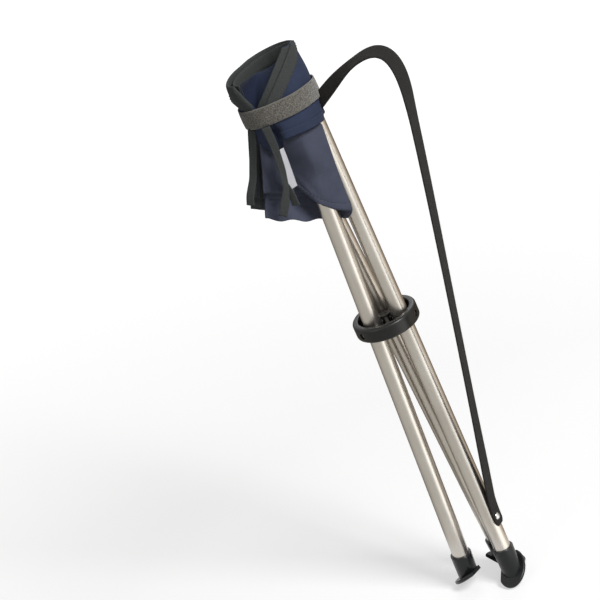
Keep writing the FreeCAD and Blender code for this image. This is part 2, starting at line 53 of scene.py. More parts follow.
# Collar: its oval in plan, the lines of its neck, and the sizes of its tapes, band and inside
OVAL_MID = (-13.3, -6.4)
OVAL_HALF = (41.6, 38.6)
NECK_LOW = (-36.7, 284.6)
NECK_LEFT_RISE = 2.03
NECK_START = (-32.7, 287.2)
NECK_RISE = 1.1
NECK_SAG = 0.0045
FRONT_END = -30.0
BAND_WIDTH = 20.5
BINDING = 12.0
INNER_BINDING = 16.5
INNER_DEPTH = 24.0
WALL = -1.6
DOME_TOP = 303.0
DOME_EDGE = 297.0
BAND_LEAN_AT = 278.0

# The legs' axes: place at the hub's height, and drift for each millimetre up
LEFT_AXIS = (-15.588, -9.0)
LEFT_DRIFT = (0.0437, -0.0758)
REAR_AXIS = (0.0, 18.0)
REAR_DRIFT = (-0.0437, 0.0)
RIGHT_AXIS = (15.588, -9.0)


def row(points):
    """Hub-frame millimetres to the part's frame in metres."""
    return (np.asarray(points, float) @ LEAN.T + HUB) / 1000.0


def from_row(points):
    """The part's frame in metres to hub-frame millimetres."""
    return (np.asarray(points, float) * 1000.0 - HUB) @ LEAN


def turned(way):
    """A direction in the hub's frame to the part's."""
    return LEAN @ np.asarray(way, float)


def smooth(a, b, x):
    """0 below a, 1 above b and an even slope between."""
    t = np.clip((np.asarray(x, float) - a) / (b - a), 0.0, 1.0)
    return t * t * (3 - 2 * t)


def bump(x, at, width):
    return np.exp(-(((np.asarray(x, float) - at) / width) ** 2))


def ripple(x, y, z, size):
    """Soft noise from -1 to 1 at each point."""
    flat = np.broadcast_arrays(np.asarray(x, float), np.asarray(y, float), np.asarray(z, float))
    out = np.empty(flat[0].shape)
    for index in np.ndindex(out.shape):
        out[index] = noise.noise(Vector((flat[0][index] / size, flat[1][index] / size, flat[2][index] / size)))
    return out


def placed(name, data):
    """A new object in the scene."""
    obj = bpy.data.objects.new(name, data)
    bpy.context.scene.collection.objects.link(obj)
    return obj


def lengths(points):
    """Distance along a line of points to each of them."""
    return np.concatenate([[0], np.cumsum(np.linalg.norm(np.diff(points, axis=0), axis=1))])


def resampled(points, count):
    """Even steps along a line of points: how far each is, and where."""
    far = lengths(points)
    steps = np.linspace(0, far[-1], count)
    return far, steps, np.stack([np.interp(steps, far, points[:, k]) for k in range(3)], 1)


# Meshes
class Cloth:
    """Collects grids of points into one mesh with texture coordinates in millimetres."""

    def __init__(self):
        self.points, self.faces, self.uvs, self.slots = [], [], [], []

    def add(self, points, uv, faces, slot):
        base = len(self.points)
        self.points.extend(points)
        for face in faces:
            self.faces.append([base + i for i in face])
            self.uvs.append([uv[i] for i in face])
            self.slots.append(slot)

    def sheet(self, grid, thick, closed=False, slot=0, shift=0.0):
        """A grid of points given a thickness; closed joins its last column to its first."""
        grid = np.asarray(grid, float)
        rows, cols = grid.shape[:2]
        if closed:
            along = np.roll(grid, -1, 1) - np.roll(grid, 1, 1)
        else:
            along = np.gradient(grid, axis=1)
        up = np.gradient(grid, axis=0)
        normal = np.cross(along, up)
        size = np.linalg.norm(normal, axis=2, keepdims=True)
        normal = normal / np.maximum(size, 1e-9)
        outer = grid + normal * (shift + thick / 2)
        inner = grid + normal * (shift - thick / 2)
        middle = rows // 2
        u, v = lengths(grid[middle]), lengths(grid[:, cols // 2])
        if closed:
            u = np.append(u, u[-1] + np.linalg.norm(grid[middle, 0] - grid[middle, -1]))
        count = rows * cols
        points = np.concatenate([outer.reshape(-1, 3), inner.reshape(-1, 3)])
        last = cols if closed else cols - 1

        def at(r, c, layer):
            return layer * count + r * cols + c % cols

        base = len(self.points)
        self.points.extend(row(points))

        def face(corners):
            self.faces.append([base + at(*c) for c in corners])
            self.uvs.append([(u[c[1]], v[c[0]]) for c in corners])
            self.slots.append(slot)

        for r in range(rows - 1):
            for c in range(last):
                face([(r, c, 0), (r, c + 1, 0), (r + 1, c + 1, 0), (r + 1, c, 0)])
                face([(r, c, 1), (r + 1, c, 1), (r + 1, c + 1, 1), (r, c + 1, 1)])
        for c in range(last):
            face([(0, c, 1), (0, c + 1, 1), (0, c + 1, 0), (0, c, 0)])
            face([(rows - 1, c, 0), (rows - 1, c + 1, 0), (rows - 1, c + 1, 1), (rows - 1, c, 1)])
        if not closed:
            for r in range(rows - 1):
                face([(r, 0, 0), (r + 1, 0, 0), (r + 1, 0, 1), (r, 0, 1)])
                face([(r, cols - 1, 1), (r + 1, cols - 1, 1), (r + 1, cols - 1, 0), (r, cols - 1, 0)])

    def stitches(self, line, normals, slot, length=2.6, gap=1.5, radius=0.32, lift=0.25):
        """Short raised threads along a line of points."""
        line = np.asarray(line, float)
        normals = np.asarray(normals, float)
        far = lengths(line)
        start = gap
        while start + length < far[-1]:
            ends = []
            for s in (start, start + length / 2, start + length):
                p = np.array([np.interp(s, far, line[:, k]) for k in range(3)])
                n = np.array([np.interp(s, far, normals[:, k]) for k in range(3)])
                ends.append((p, n / np.linalg.norm(n)))
            along = ends[2][0] - ends[0][0]
            along = along / np.linalg.norm(along)
            rings = []
            for (p, n), grow, rise in zip(ends, (0.55, 1.0, 0.55), (-0.2, lift, -0.2)):
                side = np.cross(n, along)
                ring = [p + n * (rise + radius * grow * math.sin(a)) + side * radius * grow * math.cos(a)
                        for a in np.linspace(0, 2 * math.pi, 6, endpoint=False)]
                rings.append(ring)
            points = row(np.array(rings).reshape(-1, 3))
            faces = [[r * 6 + k, r * 6 + (k + 1) % 6, (r + 1) * 6 + (k + 1) % 6, (r + 1) * 6 + k]
                     for r in range(2) for k in range(6)]
            faces += [[5, 4, 3, 2, 1, 0], [12, 13, 14, 15, 16, 17]]
            self.add(list(points), [(start, 0.0)] * 18, faces, slot)
            start += length + gap

    def build(self, name, materials):
        mesh = bpy.data.meshes.new(name)
        mesh.from_pydata([tuple(p) for p in self.points], [], self.faces)
        layer = mesh.uv_layers.new(name="UVMap")
        flat = [c for face in self.uvs for uv in face for c in uv]
        layer.data.foreach_set("uv", flat)
        for material in materials:
            mesh.materials.append(material)
        mesh.polygons.foreach_set("material_index", self.slots)
        mesh.polygons.foreach_set("use_smooth", [True] * len(mesh.polygons))
        mesh.update()
        return placed(name, mesh)


# Materials
CLOTH_SHINE = 0.08
MILLIMETRES = (1000.0, 1000.0, 1000.0)


def new_material(name):
    material = bpy.data.materials.new(name)
    material.use_nodes = True
    tree = material.node_tree
    return material, tree, tree.nodes["Principled BSDF"]


def feed(tree, socket, value):
    """Links another node's output to a socket, or sets the socket's own value."""
    if isinstance(value, bpy.types.NodeSocket):
        tree.links.new(value, socket)
    else:
        socket.default_value = value


def put(tree, node, **inputs):
    """Feeds a node's inputs, with _ for the spaces in their names."""
    for key, value in inputs.items():
        feed(tree, node.inputs[key.replace("_", " ")], value)
    return node


def add(tree, kind, settings=None, **inputs):
    """A new shader node with its settings and inputs."""
    node = tree.nodes.new("ShaderNode" + kind)
    for key, value in (settings or {}).items():
        setattr(node, key, value)
    return put(tree, node, **inputs)


def maths(tree, operation, *values):
    node = add(tree, "Math", {"operation": operation})
    for socket, value in zip(node.inputs, values):
        feed(tree, socket, value)
    return node.outputs["Value"]


def spanned(tree, value, source=(0.0, 1.0), target=(0.0, 1.0)):
    """A value carried from one range to another."""
    node = add(tree, "MapRange", Value=value, From_Min=source[0], From_Max=source[1],
               To_Min=target[0], To_Max=target[1])
    return node.outputs["Result"]


def mixed(tree, factor, dark, light, blend="MIX"):
    """A mix of two colours, which may be outputs of other nodes."""
    ends = [end if isinstance(end, bpy.types.NodeSocket) else (*end, 1) for end in (dark, light)]
    node = add(tree, "Mix", {"data_type": "RGBA", "blend_type": blend}, Factor=factor, A=ends[0], B=ends[1])
    return node.outputs["Result"]


def mapped(tree, coords, scale):
    return add(tree, "Mapping", Vector=coords, Scale=scale).outputs["Vector"]


def in_mm(tree, threads):
    """Texture coordinates of a cloth mesh, in threads for each millimetre."""
    return mapped(tree, add(tree, "UVMap").outputs["UV"], (threads, threads, 1.0))


def clouds(tree, scale, detail, stretch=MILLIMETRES, **inputs):
    """Noise over the object's own millimetres."""
    place = mapped(tree, add(tree, "TexCoord").outputs["Object"], stretch)
    return add(tree, "TexNoise", Vector=place, Scale=scale, Detail=detail, **inputs).outputs["Fac"]


def bands(tree, vector, axis, **inputs):
    """Even bands across one way of the cloth."""
    settings = {"wave_type": "BANDS", "bands_direction": axis}
    return add(tree, "TexWave", settings, Vector=vector, Scale=0.5, **inputs).outputs["Fac"]


def weave(tree, threads):
    """Height of a plain weave: two sets of threads crossing."""
    vector = in_mm(tree, threads)
    return maths(tree, "MULTIPLY", *[bands(tree, vector, axis, Distortion=0.6) for axis in "XY"])


def threaded(tree, colour, height, share, target):
    """A colour shaded by the height of its threads."""
    return mixed(tree, share, colour, spanned(tree, height, target=target), "MULTIPLY")


def ridged(tree, height, strength, depth):
    return add(tree, "Bump", Height=height, Strength=strength, Distance=depth).outputs["Normal"]


def fabric(name, dark, light, threads=1.6, strength=0.35, sheen=0.12, rough=0.85):
    """Woven cloth with soft blotches, fine threads and a little sheen."""
    material, tree, shader = new_material(name)
    height = weave(tree, threads)
    colour = mixed(tree, clouds(tree, 0.06, 4.0, Roughness=0.6), dark, light)
    put(tree, shader, Base_Color=threaded(tree, colour, height, 0.35, (0.72, 1.12)),
        Normal=ridged(tree, height, strength, 0.0003), Roughness=rough, Specular_IOR_Level=CLOTH_SHINE,
        Sheen_Weight=sheen, Sheen_Roughness=0.4)
    return material


def ribbed(name, dark, light):
    """Grosgrain tape: ribs across its length and a fine grain."""
    material, tree, shader = new_material(name)
    ribs = bands(tree, in_mm(tree, 0.9), "Y", Distortion=0.8, Detail=1.0)
    height = maths(tree, "MULTIPLY_ADD", ribs, 0.5, clouds(tree, 0.9, 3.0))
    # Its colour follows the ribs' height, darker in the grooves: painted shade, with a random grain over it.
    put(tree, shader, Base_Color=mixed(tree, spanned(tree, height, (0.3, 1.2)), dark, light),
        Normal=ridged(tree, height, 0.6, 0.0004), Roughness=0.85, Specular_IOR_Level=CLOTH_SHINE,
        Sheen_Weight=0.04)
    return material


def fuzzy(name, dark, light, selvedge):
    """Loop pile: mottled warm grey with a soft nap, smoother along its selvedges."""
    material, tree, shader = new_material(name)
    spots = spanned(tree, clouds(tree, 0.75, 4.0, Roughness=0.7), (0.4, 0.62))
    place = add(tree, "SeparateXYZ", Vector=in_mm(tree, 1.0)).outputs["Y"]
    half = BAND_WIDTH / 2
    away = maths(tree, "ABSOLUTE", maths(tree, "SUBTRACT", place, half))
    edge = spanned(tree, away, (half - 1.5, half - 0.8))
    nap = clouds(tree, 2.4, 3.0, Roughness=0.8)
    put(tree, shader, Base_Color=mixed(tree, edge, mixed(tree, spots, dark, light), selvedge),
        Normal=ridged(tree, nap, 0.9, 0.0008), Roughness=0.95, Specular_IOR_Level=0.1, Sheen_Weight=0.35,
        Sheen_Roughness=0.5)
    return material


def webbing(name, dark, light):
    """Strap webbing: a coarse weave that is worn a little paler in places."""
    material, tree, shader = new_material(name)
    height = weave(tree, 1.1)
    colour = mixed(tree, clouds(tree, 0.08, 3.0), dark, light)
    put(tree, shader, Base_Color=threaded(tree, colour, height, 0.5, (0.6, 1.25)),
        Normal=ridged(tree, height, 0.6, 0.0004), Roughness=0.85, Specular_IOR_Level=0.15, Sheen_Weight=0.03)
    return material


def plastic(name, dark, light, rough, grain=0.12):
    """Moulded plastic with a fine grain, rubbed a little paler in places."""
    material, tree, shader = new_material(name)
    wear = clouds(tree, 0.12, 5.0, Roughness=0.7)
    put(tree, shader, Base_Color=mixed(tree, wear, dark, light),
        Normal=ridged(tree, clouds(tree, 3.5, 2.0), grain, 0.0002),
        Roughness=spanned(tree, wear, target=(rough - 0.06, rough + 0.1)), Specular_IOR_Level=0.3)
    return material


def metal(name, dark, light, rough, streak):
    """Metal with streaks drawn along the upright."""
    material, tree, shader = new_material(name)
    lines = clouds(tree, 1.0, 4.0, (1400.0, 1400.0, 12.0), Roughness=0.65)
    tone = maths(tree, "MULTIPLY_ADD", lines, 0.6, clouds(tree, 0.02, 3.0))
    put(tree, shader, Base_Color=mixed(tree, spanned(tree, tone, (0.5, 1.1)), dark, light),
        Normal=ridged(tree, lines, streak, 0.00005),
        Roughness=spanned(tree, lines, target=(rough - 0.05, rough + 0.07)), Metallic=1.0)
    return material


navy = fabric("navy cloth", (0.024, 0.032, 0.062), (0.039, 0.051, 0.092), sheen=0.03)
slate = fabric("slate cloth", (0.052, 0.058, 0.087), (0.083, 0.089, 0.126), sheen=0.03)
# A darker copy of the navy cloth for the collar's inner turn and the cloth inside it: painted shade.
painted_shade = fabric("navy lining", (0.014, 0.019, 0.039), (0.023, 0.031, 0.06), sheen=0.02)
tape = ribbed("ribbed tape", (0.03, 0.0335, 0.0325), (0.064, 0.07, 0.068))
pile = fuzzy("loop pile", (0.05, 0.047, 0.04), (0.215, 0.2, 0.172), (0.15, 0.14, 0.122))
strap_cloth = webbing("strap webbing", (0.018, 0.017, 0.0155), (0.03, 0.0285, 0.026))
label_cloth = fabric("label satin", (0.46, 0.46, 0.49), (0.58, 0.58, 0.61), threads=2.4, strength=0.15,
                     sheen=0.0, rough=0.55)
thread = fabric("sewing thread", (0.035, 0.04, 0.05), (0.06, 0.066, 0.078), threads=3.0)
black = plastic("black plastic", (0.006, 0.006, 0.0055), (0.013, 0.013, 0.012), 0.3)
foot_black = plastic("foot plastic", (0.005, 0.0055, 0.006), (0.011, 0.012, 0.013), 0.27)
rubber = plastic("sole rubber", (0.05, 0.05, 0.05), (0.1, 0.1, 0.1), 0.75, grain=0.4)
tube_metal = metal("satin tube", (0.5, 0.465, 0.42), (0.62, 0.59, 0.545), 0.3, 0.2)
pin_metal = metal("pin steel", (0.3, 0.3, 0.31), (0.42, 0.42, 0.43), 0.35, 0.1)
rivet_metal = metal("rivet steel", (0.5, 0.5, 0.5), (0.62, 0.62, 0.62), 0.16, 0.05)


def dress(material, *names):
    for name in names:
        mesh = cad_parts[name].data
        mesh.materials.clear()
        mesh.materials.append(material)


LEGS = ("left", "right", "rear")
SIXTHS = ("left_a", "left_b", "right_a", "right_b", "rear_a", "rear_b")
dress(black, "hub", "pin_washers", "pin_spacers")
dress(pin_metal, *["pin_" + leg for leg in LEGS])
dress(tube_metal, *["tube_" + leg for leg in LEGS])
dress(foot_black, *["foot_" + leg for leg in LEGS], *["top_plug_" + leg for leg in LEGS])
dress(rubber, *["sole_pad_" + leg for leg in LEGS])
dress(rivet_metal, "strap_rivet")


# Collar
def oval(turn, offset):
    """Points on the collar's oval at angles in degrees, grown by an offset."""
    a = np.radians(turn)
    x = OVAL_MID[0] + (OVAL_HALF[0] + offset) * np.cos(a)
    y = OVAL_MID[1] + (OVAL_HALF[1] + offset) * np.sin(a)
    return x, y


def wrapped(turns, offset, z):
    """Points of the wrapped cloth at angles and heights, grown from the oval by an offset."""
    return np.stack([*oval(turns, offset + draw_in(turns, z)), z], 1)


def turn_of(x, y):
    """Angle in degrees, from -90 to 270, at which a point lies round the oval."""
    turn = np.degrees(np.arctan2((y - OVAL_MID[1]) / OVAL_HALF[1], (x - OVAL_MID[0]) / OVAL_HALF[0]))
    return (turn + 90.0) % 360.0 - 90.0


RIM_TURNS = (-90.0, -40.0, 0.0, 45.0, 90.0, 120.0, 150.0, 180.0, 215.0, 270.0)
RIM_HEIGHTS = (335.0, 329.5, 324.0, 319.7, 314.8, 311.4, 309.7, 309.0, 310.5, 335.0)
LOW_TURNS = (-90.0, -67.0, -47.0, -20.0, 0.0, 40.0, 120.0, 180.0, 205.0, 230.0, 247.0, 255.0, 270.0)
LOW_HEIGHTS = (247.0, 245.4, 243.0, 239.6, 237.8, 240.0, 246.0, 249.0, 241.0, 232.5, 236.0, 246.0, 247.0)


def rim_height(x, y):
    return np.interp(turn_of(x, y), RIM_TURNS, RIM_HEIGHTS)


def low_height(x, y):
    return np.interp(turn_of(x, y), LOW_TURNS, LOW_HEIGHTS)


def band_height(x, y):
    return 270.7 + 0.03 * (x + 12.6) - 0.155 * (y + 6.0)


def along_front(turn):
    """Place along the collar's front: its x, carried on round the right-hand end as a length of arc."""
    turn = np.asarray(turn, float)
    x = OVAL_MID[0] + OVAL_HALF[0] * np.cos(np.radians(np.minimum(turn, FRONT_END)))
    return x + OVAL_HALF[0] * np.radians(np.maximum(turn - FRONT_END, 0.0))


def neck_line(place):
    """Height of the neck's right-hand edge at a place along the front."""
    far = place - NECK_START[0]
    return NECK_START[1] + NECK_RISE * far - NECK_SAG * far ** 2


def neck_height(x, y):
    """The collar's top: its rim, or the slanting edges of the neck in front."""
    turn = turn_of(x, y)
    right = neck_line(along_front(np.where(turn > 180.0, turn - 360.0, turn)))
    left = NECK_LOW[1] + NECK_LEFT_RISE * (NECK_LOW[0] - x)
    rim = rim_height(x, y)
    dip = rim - np.minimum(rim, np.maximum(left, right))
    return rim - dip * smooth(-2.0, -14.0, y)


def draw_in(turn, z):
    """How far the wrapped cloth leans in: at the rim, under the band on the left, and at its lower edge."""
    turn = (np.asarray(turn, float) + 180.0) % 360.0 - 180.0
    top = 2.2 * smooth(290.0, 325.0, z)
    pinch = 3.6 * smooth(294.0, 280.0, z) * bump(np.abs(turn) - 180.0, 0.0, 50.0)
    right = 4.5 * smooth(254.0, 236.0, z) * bump(turn, 0.0, 50.0)
    left = 4.0 * smooth(248.0, 232.0, z) * bump(turn, -135.0, 30.0)
    tuck = 8.0 * smooth(266.0, 254.0, z) * bump(turn, -113.0, 9.0)
    return -(top + pinch + right + left + tuck)


def wall_grid(turns, low, high, offset, rows=28, crease=0.5):
    """A stretch of the collar's wall between two heights, with soft wrinkles."""
    turns = np.asarray(turns, float)
    x, y = oval(turns, 0.0)
    bottom, top = low(x, y), high(x, y)
    grid = np.empty((rows, len(turns), 3))
    for r, t in enumerate(np.linspace(0, 1, rows)):
        z = bottom + (top - bottom) * t
        wrinkle = crease * ripple(x, y, z * 0.6, 17.0) + 0.5 * crease * ripple(x + 50, y, z, 7.0)
        grid[r] = wrapped(turns, offset + wrinkle, z)
    return grid


def strip_turn(offset, share):
    """Angle at which a line under the neck's right-hand edge crosses a share of the way from band to rim."""
    low, high = -172.0, 60.0
    for _ in range(40):
        mid = (low + high) / 2
        x, y = oval(mid, 0.0)
        z = band_height(x, y) + share * (rim_height(x, y) - band_height(x, y))
        line = neck_line(along_front(mid)) - offset
        if line < z:
            low = mid
        else:
            high = mid
    return (low + high) / 2


def strip_grid(first, last, offset, low=0.0, high=1.0, rows=36, cols=9, crease=0.3):
    """A slanting strip on the collar's front, between two distances from the neck's edge."""
    grid = np.empty((rows, cols, 3))
    for r, share in enumerate(np.linspace(low, high, rows)):
        turns = np.linspace(strip_turn(first, share), strip_turn(last, share), cols)
        x, y = oval(turns, 0.0)
        z = band_height(x, y) + share * (rim_height(x, y) - band_height(x, y))
        grid[r] = wrapped(turns, offset + crease * ripple(x, y, z, 15.0), z)
    return grid


def outward(points):
    points = np.asarray(points, float)
    n = np.stack([(points[:, 0] - OVAL_MID[0]) / OVAL_HALF[0], (points[:, 1] - OVAL_MID[1]) / OVAL_HALF[1],
                  np.zeros(len(points))], 1)
    return n / np.linalg.norm(n, axis=1, keepdims=True)


def on_wall(points, lift):
    return np.asarray(points, float) + outward(points) * lift


def ride_wrap(obj, *nodes):
    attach(obj, "wrap")
    if nodes:
        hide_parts(*nodes)
    return obj


collar_mesh = Cloth()
full_turn = np.linspace(0, 360, 150, endpoint=False)
collar_mesh.sheet(wall_grid(full_turn, low_height, neck_height, WALL), 1.0, closed=True)

# The outer lap, from its slanting front edge round the right-hand side
lap = np.empty((30, 80, 3))
for r, share in enumerate(np.linspace(0.0, 1.0, 30)):
    turns = np.linspace(strip_turn(10.0, share), 90.0, 80)
    x, y = oval(turns, 0.0)
    z = band_height(x, y) + share * (rim_height(x, y) + 0.4 - band_height(x, y))
    sink = -1.0 * smooth(40.0, 90.0, turns)
    bulge = 0.9 * ripple(x, y, z * 0.5, 20.0) * smooth(0.0, 0.4, share)
    lap[r] = wrapped(turns, 0.1 + sink + bulge, z)
collar_mesh.sheet(lap, 1.0)

# Below the band: a lower lap with a sewn hem
lower = np.empty((26, 104, 3))
hem_turns = np.linspace(-106.0, 120.0, 104)
for r, share in enumerate(np.linspace(0.0, 1.0, 26)):
    x, y = oval(hem_turns, 0.0)
    bottom = low_height(x, y) - 1.2
    z = bottom + share * (band_height(x, y) - bottom)
    full = 0.9 * ripple(x, y, z * 0.7, 16.0) + 0.8 * bump(hem_turns, -70.0, 14.0) * (1 - share)
    lower[r] = wrapped(hem_turns, 0.2 + full, z)
collar_mesh.sheet(lower, 1.0)
collar_mesh.sheet(lower[:8], 0.8, shift=0.75)
collar_mesh.stitches(on_wall(lower[6], 1.15), outward(lower[6]), 1)


# The inner turn of the wrap, spaced from the outer one at the back and left
def inner_gap(turn):
    return -1.8 - 4.6 * smooth(0.0, 60.0, turn)


def inner_top(x, y):
    return neck_height(x, y) - 1.5 - 1.2 * smooth(20.0, 80.0, turn_of(x, y))


inner_turns = np.linspace(-50.0, 212.0, 110)
inner_wall = np.empty((16, len(inner_turns), 3))
for r, share in enumerate(np.linspace(0.0, 1.0, 16)):
    x, y = oval(inner_turns, 0.0)
    z = inner_top(x, y) - INNER_DEPTH * (1.0 - share)
    inner_wall[r] = wrapped(inner_turns, WALL + inner_gap(inner_turns) + 0.5 * ripple(x, y, z, 18.0), z)
# The inner turn takes the darkened navy: painted shade.
collar_mesh.sheet(inner_wall, 0.8, slot=2)

# The folded cloth inside, seen through the neck
inside = np.empty((24, 84, 3))
dome_turns = np.linspace(0, 360, 84, endpoint=False)
for r, reach in enumerate(np.linspace(0.02, 1.0, 24)):
    gap = -3.0 - 4.2 * smooth(0.0, 60.0, np.minimum(dome_turns, 260.0 - dome_turns))
    x, y = oval(dome_turns, gap)
    px = OVAL_MID[0] + (x - OVAL_MID[0]) * reach
    py = OVAL_MID[1] + (y - OVAL_MID[1]) * reach
    edge = np.minimum(neck_height(x, y) - 3.5, DOME_EDGE)
    left_ridge = 6.0 * bump(px, -21.0, 14.0) * bump(py, -9.0, 12.0)
    right_ridge = 7.0 * bump(px, 9.0, 13.0) * bump(py, 5.0, 12.0)
    hill = DOME_TOP + left_ridge + right_ridge + 0.9 * ripple(px, py, 0.0, 13.0)
    z = hill + (edge - hill) * reach ** 3.0
    inside[r] = np.stack([px, py, z], 1)
# The cloth inside takes the darkened navy: painted shade.
collar_mesh.sheet(inside, 0.8, closed=True, slot=2)
collar = collar_mesh.build("collar_cloth", [navy, thread, painted_shade])
ride_wrap(collar, "collar")


# Tape folded over the rim
def fold_over(turns, height, offset, width, thick):
    """A tape folded over an edge of the wall, in rows from its outer lower edge over the top."""
    x, y = oval(turns, 0.0)
    top = height(x, y)
    steep = 1.0 + 0.5 * smooth(165.0, 190.0, turns) + 0.6 * smooth(190.0, 208.0, turns)
    half = [(thick, -width), (thick, -width * 0.55), (thick + 0.2, -width * 0.2), (thick, -0.6),
            (0.5 * thick, 0.55)]
    profile = half + [(0.0, 0.9)] + [(-out, rise) for out, rise in half[::-1]]
    grid = np.empty((len(profile), len(turns), 3))
    for r, (out, rise) in enumerate(profile):
        z = top + rise * steep + 0.4 * ripple(x, y, 3.0, 14.0)
        wave = 0.3 * ripple(x, y, top + rise * 0.3, 12.0)
        grid[r] = wrapped(turns, offset + out + wave, z)
    return grid


def bind(mesh, grid):
    """Adds a folded tape and a row of stitches near each of its long edges."""
    mesh.sheet(grid, 0.6)
    for edge, way in ((10, -1.0), (0, 1.0)):
        line = grid[edge, 2:-2]
        raised = line + outward(line) * 0.45 * way + np.array([0, 0, 1.6])
        mesh.stitches(raised, outward(line) * way, 1)


rim_mesh = Cloth()
rim_turns = np.linspace(-22.0, 233.0, 170)
bind(rim_mesh, fold_over(rim_turns, neck_height, WALL, BINDING, 1.2))
second_turns = np.linspace(-44.0, 212.0, 160)
bind(rim_mesh, fold_over(second_turns, inner_top, WALL + inner_gap(second_turns), INNER_BINDING, 1.0))
rim_tape = rim_mesh.build("rim_tape", [tape, thread])
ride_wrap(rim_tape, "rim_binding")

inner_mesh = Cloth()
inner_mesh.sheet(strip_grid(-0.8, 8.6, -0.5, low=-0.05, high=0.99), 1.2)
inner_tape = inner_mesh.build("inner_edge_tape", [tape])
ride_wrap(inner_tape, "inner_edge_binding")

front_mesh = Cloth()
front_grid = strip_grid(8.2, 24.5, 1.1, low=-0.05, high=1.0, cols=13)
front_mesh.sheet(front_grid, 1.3)
front_mesh.stitches(on_wall(front_grid[:, -2], 0.75), outward(front_grid[:, -2]), 1)
front_tape = front_mesh.build("front_edge_tape", [tape, thread])
ride_wrap(front_tape, "front_edge_binding")

# Hook-and-loop band
band_mesh = Cloth()
band_grid = np.empty((11, 160, 3))
band_turns = np.linspace(0, 360, 160, endpoint=False)
for r, t in enumerate(np.linspace(-0.5, 0.5, 11)):
    x, y = oval(band_turns, 0.0)
    z = band_height(x, y) + BAND_WIDTH * t
    cup = 0.5 * (1 - (2 * t) ** 2)
    snug = 2.7 - 2.6 * bump(np.abs(band_turns - 200.0), 0.0, 45.0)
    lean = draw_in(band_turns, BAND_LEAN_AT) + 0.35 * ripple(x, y, z * 0.3, 15.0)
    z = z + 0.5 * ripple(x, y, 9.0, 25.0)
    band_grid[r] = np.stack([*oval(band_turns, snug + cup + lean), z], 1)
band_mesh.sheet(band_grid, 1.5, closed=True)
band = band_mesh.build("loop_band", [pile])
ride_wrap(band, "hook_and_loop_band")


# Pockets on the leg tops
def axis_at(axis, drift, z):
    return np.array([axis[0] + drift[0] * z, axis[1] + drift[1] * z])


# Height, reach to the left and right, distance of the front and of its right-hand corner
FRONT_SECTIONS = np.array([(112.0, 20.0, 21.0, 12.6, 7.5), (150.0, 21.0, 22.4, 12.6, 6.0),
                           (190.0, 21.6, 22.8, 12.6, 3.0), (236.0, 20.0, 24.6, 12.6, -3.0),
                           (262.0, 13.0, 14.5, 12.2, 6.0), (288.0, 5.0, 3.5, 11.3, 11.3)])
FRONT_COUNT = 44
BACK_R = 10.9
HEM_X = (-30.0, -29.0, -17.4, -6.3, 5.9, 10.8, 13.0)
HEM_Z = (187.0, 186.0, 164.5, 151.5, 142.0, 138.6, 137.8)
BACK_HEM_X = (-30.0, -20.0, 0.0, 5.0, 13.0)
BACK_HEM_Z = (187.0, 176.0, 130.0, 129.0, 136.0)


def front_profile(z):
    """Points round the front pocket at one height: from its left corner along the front, then round the leg."""
    left, right, front, corner = (np.interp(z, FRONT_SECTIONS[:, 0], FRONT_SECTIONS[:, k])
                                  for k in (1, 2, 3, 4))
    x = -left + (left + right) * np.linspace(0, 1, FRONT_COUNT)
    slack = smooth(262.0, 235.0, z)
    y = -front + (front - corner) * np.clip(x / right, 0.0, 1.0) ** 1.7
    hollow = 4.0 + 11.0 * bump(z, 204.0, 34.0)
    y = y + hollow * slack * np.clip((1.0 - x) / (left + 1.0), 0.0, 1.0) ** 1.5
    y = y - 4.0 * slack * bump(x, 3.0, 10.0) * bump(z, 216.0, 17.0)
    y = y + 2.2 * slack * bump(x, 4.0, 9.0) * bump(z + 0.35 * x, 192.0, 11.0)
    y = y - 1.5 * slack * bump(x + (z - 165.0) * 0.35, -7.0, 3.2) * bump(z, 176.0, 22.0)
    y = y + 1.2 * slack * bump(x - (z - 176.0) * 0.5, 8.0, 4.0) * bump(z, 176.0, 20.0)

    def touch(px, py, side):
        return math.atan2(py, px) + side * math.acos(min(0.999, BACK_R / math.hypot(px, py)))

    first = touch(x[-1], y[-1], 1)
    stop = touch(x[0], y[0], -1)
    if stop < first:
        stop += 2 * math.pi
    arc = np.linspace(first, stop, 26)
    bx, by = BACK_R * np.cos(arc), BACK_R * np.sin(arc)
    gap = np.linspace(0, 1, 8)[1:-1]
    rx, ry = x[-1] + (bx[0] - x[-1]) * gap, y[-1] + (by[0] - y[-1]) * gap
    lx, ly = bx[-1] + (x[0] - bx[-1]) * gap, by[-1] + (y[0] - by[-1]) * gap
    return np.concatenate([x, rx, bx, lx]), np.concatenate([y, ry, by, ly])


POCKET_TOP = 287.5
POCKET_SEAM = 239.0
pocket_mesh = Cloth()
levels = np.linspace(0, 1, 50)
heights = np.linspace(100.0, 292.0, 193)
profiles = np.array([np.stack(front_profile(z), 1) for z in heights])
ring_count = profiles.shape[1]
centres = axis_at(LEFT_AXIS, LEFT_DRIFT, heights).T
pocket_grid = np.empty((len(levels), ring_count, 3))
for c in range(ring_count):
    place = profiles[:, c] + centres
    hem_x, hem_z = (HEM_X, HEM_Z) if c < FRONT_COUNT else (BACK_HEM_X, BACK_HEM_Z)
    over = heights - np.interp(place[:, 0], hem_x, hem_z)
    foot = heights[np.argmax(over > 0)]
    z = foot + (POCKET_TOP - foot) * levels
    pocket_grid[:, c] = np.stack([np.interp(z, heights, place[:, 0]), np.interp(z, heights, place[:, 1]), z], 1)
front_part = pocket_grid[:, :FRONT_COUNT]
front_part[:, :, 1] -= 0.45 * ripple(front_part[:, :, 0], 0.0, front_part[:, :, 2], 14.0)
pocket_mesh.sheet(pocket_grid, 0.9, closed=True)
pocket_mesh.sheet(pocket_grid[:4, :FRONT_COUNT + 3], 0.6, shift=0.65)
FORWARD = np.array([0.0, -1.0, 0.0])


def sew_front(line, lift, **stitch):
    pocket_mesh.stitches(line + FORWARD * lift, np.tile(FORWARD, (len(line), 1)), 1, **stitch)


